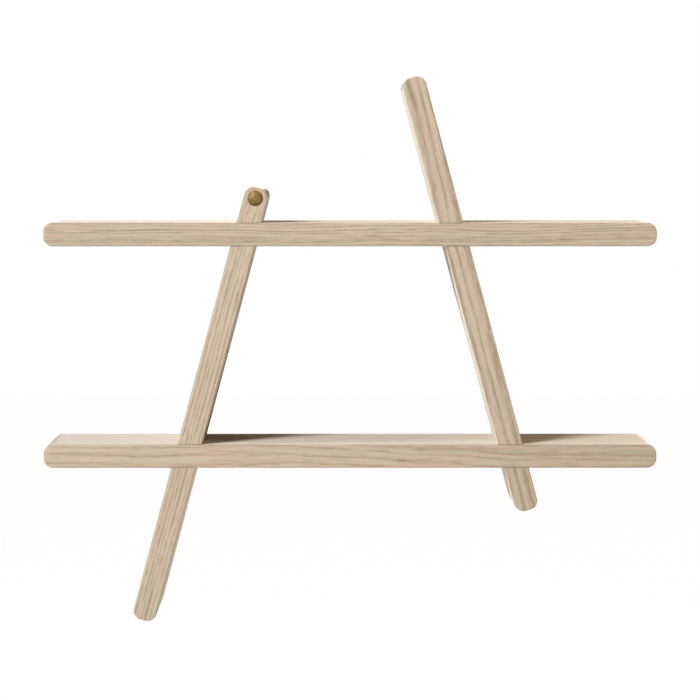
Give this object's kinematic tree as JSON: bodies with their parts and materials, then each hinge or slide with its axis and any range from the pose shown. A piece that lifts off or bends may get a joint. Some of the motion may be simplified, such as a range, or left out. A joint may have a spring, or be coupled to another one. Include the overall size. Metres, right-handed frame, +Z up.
{
  "type": "a-frame wall shelf",
  "caption": "Wall shelf of flat oak boards crossed by slanted oak boards like an open A, joined by halving and hung from keyhole plates in its rear edge.",
  "frame": {"origin": "middle of the upper shelf's rear edge, on the wall plane", "axes": "+Z up, -Y out of the wall to the front, +X to the right as seen from the front"},
  "size_m": [0.52, 0.151, 0.4622],
  "materials": {
    "oak": "pale soaped oak, matt",
    "brass": "turned brass, toned",
    "zinc_plated_steel": "bright zinc"
  },
  "bodies": {
    "root": {"upper_shelf": "oak", "lower_shelf": "oak", "left_leg": "oak", "right_leg": "oak", "brass_button": "brass", "left_keyhole_plate": "zinc_plated_steel", "right_keyhole_plate": "zinc_plated_steel", "left_plate_inner_screw": "zinc_plated_steel", "left_plate_outer_screw": "zinc_plated_steel", "right_plate_inner_screw": "zinc_plated_steel", "right_plate_outer_screw": "zinc_plated_steel"}
  },
  "joints": []
}
